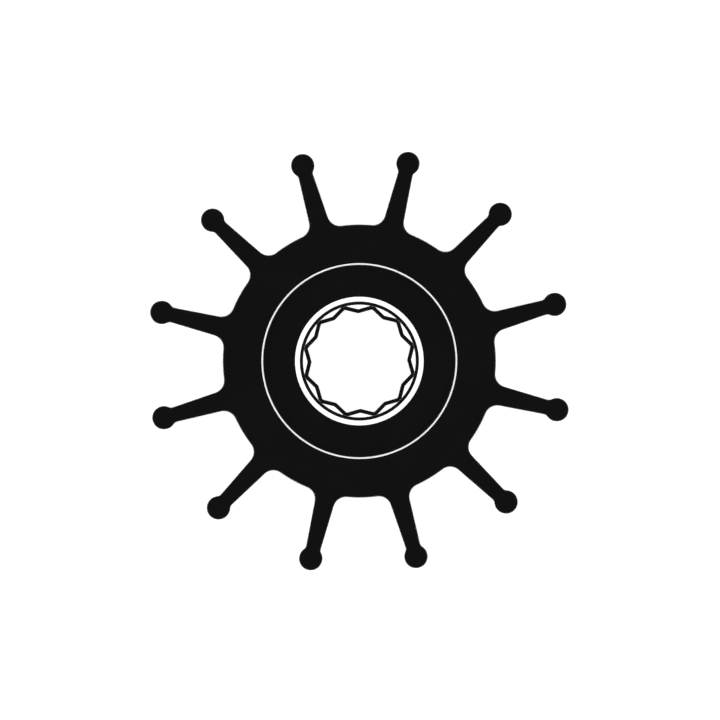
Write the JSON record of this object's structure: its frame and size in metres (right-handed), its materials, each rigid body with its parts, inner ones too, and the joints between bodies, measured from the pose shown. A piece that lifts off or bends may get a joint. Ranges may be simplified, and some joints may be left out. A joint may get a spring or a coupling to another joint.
{
  "type": "flexible rubber pump impeller",
  "caption": "Flexible rubber pump impeller with radial beaded vanes round a solid hub, bonded to a metal drive sleeve with a splined bore.",
  "frame": {"origin": "centre of the lower end face of the rubber hub, on the bore axis", "axes": "+Z along the bore axis to the upper end face; +X through the middle of a gap between two vanes"},
  "size_m": [0.0628, 0.0628, 0.05],
  "materials": {
    "rubber": "moulded, satin",
    "sleeve_metal": "turned and broached, satin"
  },
  "bodies": {
    "root": {"rubber_impeller": "rubber", "drive_sleeve": "sleeve_metal"}
  },
  "joints": []
}
